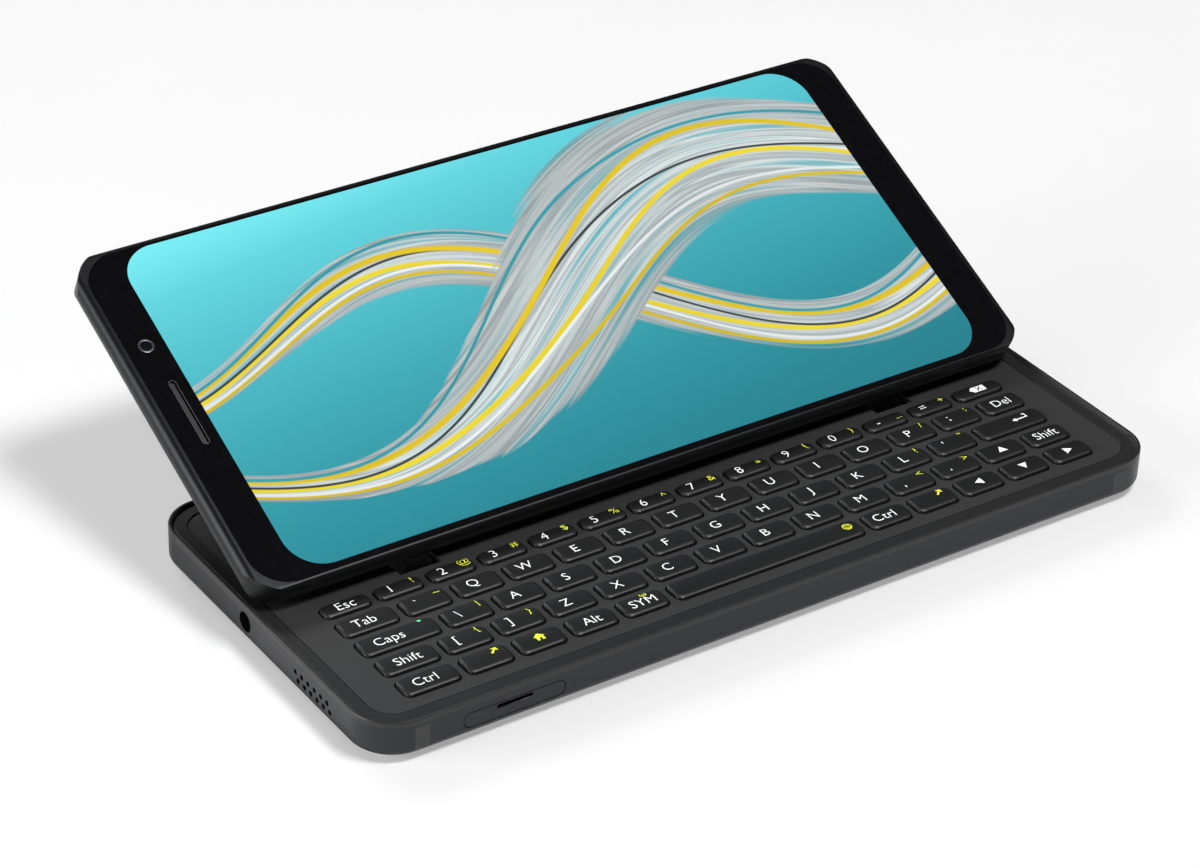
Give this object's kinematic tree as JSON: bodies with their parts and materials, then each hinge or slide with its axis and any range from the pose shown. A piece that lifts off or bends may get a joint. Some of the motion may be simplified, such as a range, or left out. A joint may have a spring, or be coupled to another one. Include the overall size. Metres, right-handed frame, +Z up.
{
  "type": "slider phone",
  "caption": "Landscape sliding phone with a tilted touch screen on two pairs of swing arms above a full five-row keyboard.",
  "frame": {"origin": "middle of the base half's underside, on the surface that the phone lies on", "axes": "+X to the typist's right along the long side, +Y from the typist towards the back, +Z up"},
  "size_m": [0.154, 0.0997, 0.0405],
  "materials": {
    "frame_metal": "anodised satin",
    "cover": "anodised satin",
    "deck_plastic": "satin",
    "key_plastic": "satin",
    "rim_plastic": "gloss",
    "steel": "brushed",
    "trim_metal": "polished",
    "glass_black": "gloss",
    "screen": "gloss",
    "board": "matt",
    "silicone": "matt",
    "inner_plastic": "matt",
    "cell": "satin",
    "lens": "gloss",
    "led": "gloss"
  },
  "bodies": {
    "base": {"side_frame": "frame_metal", "back_cover": "cover", "deck_frame": "rim_plastic", "keyboard_deck": "deck_plastic", "rear_panel": "deck_plastic", "key_mat": "silicone", "keyboard_board": "board", "main_board": "board", "board_shields": "steel", "board_screws": "steel", "battery": "cell", "headphone_socket": "inner_plastic", "usb_c_socket": "steel", "speaker_left": "inner_plastic", "speaker_right": "inner_plastic", "vibration_motor": "steel", "sim_reader": "steel", "rear_cameras": "lens", "camera_window": "glass_black", "flash_light": "led", "antenna_bands": "cover", "hinge_bracket_left": "steel", "hinge_bracket_right": "steel", "hinge_pins": "steel"},
    "front_arms": {"front_arm_left": "steel", "front_arm_right": "steel"},
    "rear_arms": {"rear_arm_left": "steel", "rear_arm_right": "steel"},
    "display": {"display_pins": "steel", "display_shell": "frame_metal", "glass_trim": "trim_metal", "cover_glass": "glass_black", "screen_panel": "screen", "display_plate": "steel", "front_camera": "lens", "earpiece": "inner_plastic", "display_bracket_left": "steel", "display_bracket_right": "steel"},
    "sim_tray": {"sim_tray": "frame_metal"},
    "volume_rocker": {"volume_rocker": "frame_metal"},
    "power_button": {"power_button": "frame_metal"},
    "shutter_button": {"shutter_button": "frame_metal"},
    "esc_key": {"esc_key": "key_plastic"},
    "backspace_key": {"backspace_key": "key_plastic"},
    "tab_key": {"tab_key": "key_plastic"},
    "delete_key": {"delete_key": "key_plastic"},
    "caps_key": {"caps_key": "key_plastic"},
    "enter_key": {"enter_key": "key_plastic"},
    "shift_key_left": {"shift_key_left": "key_plastic"},
    "shift_key_right": {"shift_key_right": "key_plastic"},
    "ctrl_key_left": {"ctrl_key_left": "key_plastic"},
    "space_key": {"space_key": "key_plastic"},
    "arrow_up_key": {"arrow_up_key": "key_plastic"},
    "arrow_left_key": {"arrow_left_key": "key_plastic"},
    "arrow_down_key": {"arrow_down_key": "key_plastic"},
    "arrow_right_key": {"arrow_right_key": "key_plastic"},
    "number_keys": {"number_keys": "key_plastic"},
    "top_letter_keys": {"top_letter_keys": "key_plastic"},
    "middle_letter_keys": {"middle_letter_keys": "key_plastic"},
    "lower_keys": {"lower_keys": "key_plastic"}
  },
  "joints": [
    {"name": "front_arm_swing", "type": "hinge", "parent": "base", "child": "front_arms", "pos_m": [0, 0.01861, 0.0039], "axis": [1, 0, 0], "range_deg": [0, 112.15]},
    {"name": "display_tilt", "type": "hinge", "parent": "front_arms", "child": "display", "pos_m": [0, 0.03143, 0.02105], "axis": [1, 0, 0], "range_deg": [-137.05, 0]},
    {"name": "rear_arm_swing", "type": "hinge", "parent": "base", "child": "rear_arms", "pos_m": [0, 0.02925, 0.0039], "axis": [1, 0, 0], "range_deg": [0, 102.63]},
    {"name": "sim_tray_slide", "type": "slide", "parent": "base", "child": "sim_tray", "axis": [0, -1, 0], "range_m": [0, 0.013]},
    {"name": "volume_rock", "type": "hinge", "parent": "base", "child": "volume_rocker", "pos_m": [-0.0308, 0.0331, 0.0041], "axis": [0, 0, 1], "range_deg": [-0.7, 0.7], "stiffness_Nm_per_rad": 0.7},
    {"name": "power_press", "type": "slide", "parent": "base", "child": "power_button", "axis": [0, -1, 0], "range_m": [0, 0.00025], "stiffness_N_per_m": 2000, "springref_m": -0.0002},
    {"name": "shutter_press", "type": "slide", "parent": "base", "child": "shutter_button", "axis": [0, -1, 0], "range_m": [0, 0.00025], "stiffness_N_per_m": 2000, "springref_m": -0.0002},
    {"name": "esc_key_press", "type": "slide", "parent": "base", "child": "esc_key", "axis": [0, 0, -1], "range_m": [0, 0.0004], "stiffness_N_per_m": 1000, "springref_m": -0.0004},
    {"name": "backspace_key_press", "type": "slide", "parent": "base", "child": "backspace_key", "axis": [0, 0, -1], "range_m": [0, 0.0004], "stiffness_N_per_m": 1000, "springref_m": -0.0004},
    {"name": "tab_key_press", "type": "slide", "parent": "base", "child": "tab_key", "axis": [0, 0, -1], "range_m": [0, 0.0004], "stiffness_N_per_m": 1000, "springref_m": -0.0004},
    {"name": "delete_key_press", "type": "slide", "parent": "base", "child": "delete_key", "axis": [0, 0, -1], "range_m": [0, 0.0004], "stiffness_N_per_m": 1000, "springref_m": -0.0004},
    {"name": "caps_key_press", "type": "slide", "parent": "base", "child": "caps_key", "axis": [0, 0, -1], "range_m": [0, 0.0004], "stiffness_N_per_m": 1000, "springref_m": -0.0004},
    {"name": "enter_key_press", "type": "slide", "parent": "base", "child": "enter_key", "axis": [0, 0, -1], "range_m": [0, 0.0004], "stiffness_N_per_m": 1000, "springref_m": -0.0004},
    {"name": "shift_key_left_press", "type": "slide", "parent": "base", "child": "shift_key_left", "axis": [0, 0, -1], "range_m": [0, 0.0004], "stiffness_N_per_m": 1000, "springref_m": -0.0004},
    {"name": "shift_key_right_press", "type": "slide", "parent": "base", "child": "shift_key_right", "axis": [0, 0, -1], "range_m": [0, 0.0004], "stiffness_N_per_m": 1000, "springref_m": -0.0004},
    {"name": "ctrl_key_left_press", "type": "slide", "parent": "base", "child": "ctrl_key_left", "axis": [0, 0, -1], "range_m": [0, 0.0004], "stiffness_N_per_m": 1000, "springref_m": -0.0004},
    {"name": "space_key_press", "type": "slide", "parent": "base", "child": "space_key", "axis": [0, 0, -1], "range_m": [0, 0.0004], "stiffness_N_per_m": 1000, "springref_m": -0.0004},
    {"name": "arrow_up_key_press", "type": "slide", "parent": "base", "child": "arrow_up_key", "axis": [0, 0, -1], "range_m": [0, 0.0004], "stiffness_N_per_m": 1000, "springref_m": -0.0004},
    {"name": "arrow_left_key_press", "type": "slide", "parent": "base", "child": "arrow_left_key", "axis": [0, 0, -1], "range_m": [0, 0.0004], "stiffness_N_per_m": 1000, "springref_m": -0.0004},
    {"name": "arrow_down_key_press", "type": "slide", "parent": "base", "child": "arrow_down_key", "axis": [0, 0, -1], "range_m": [0, 0.0004], "stiffness_N_per_m": 1000, "springref_m": -0.0004},
    {"name": "arrow_right_key_press", "type": "slide", "parent": "base", "child": "arrow_right_key", "axis": [0, 0, -1], "range_m": [0, 0.0004], "stiffness_N_per_m": 1000, "springref_m": -0.0004},
    {"name": "number_keys_press", "type": "slide", "parent": "base", "child": "number_keys", "axis": [0, 0, -1], "range_m": [0, 0.0004], "stiffness_N_per_m": 4000, "springref_m": -0.0004},
    {"name": "top_letter_keys_press", "type": "slide", "parent": "base", "child": "top_letter_keys", "axis": [0, 0, -1], "range_m": [0, 0.0004], "stiffness_N_per_m": 4000, "springref_m": -0.0004},
    {"name": "middle_letter_keys_press", "type": "slide", "parent": "base", "child": "middle_letter_keys", "axis": [0, 0, -1], "range_m": [0, 0.0004], "stiffness_N_per_m": 4000, "springref_m": -0.0004},
    {"name": "lower_keys_press", "type": "slide", "parent": "base", "child": "lower_keys", "axis": [0, 0, -1], "range_m": [0, 0.0004], "stiffness_N_per_m": 4000, "springref_m": -0.0004}
  ],
  "couplings": [
    {"joint": "display_tilt", "follows": "front_arm_swing", "ratio": -1.2211},
    {"joint": "rear_arm_swing", "follows": "front_arm_swing", "ratio": 0.91425}
  ]
}
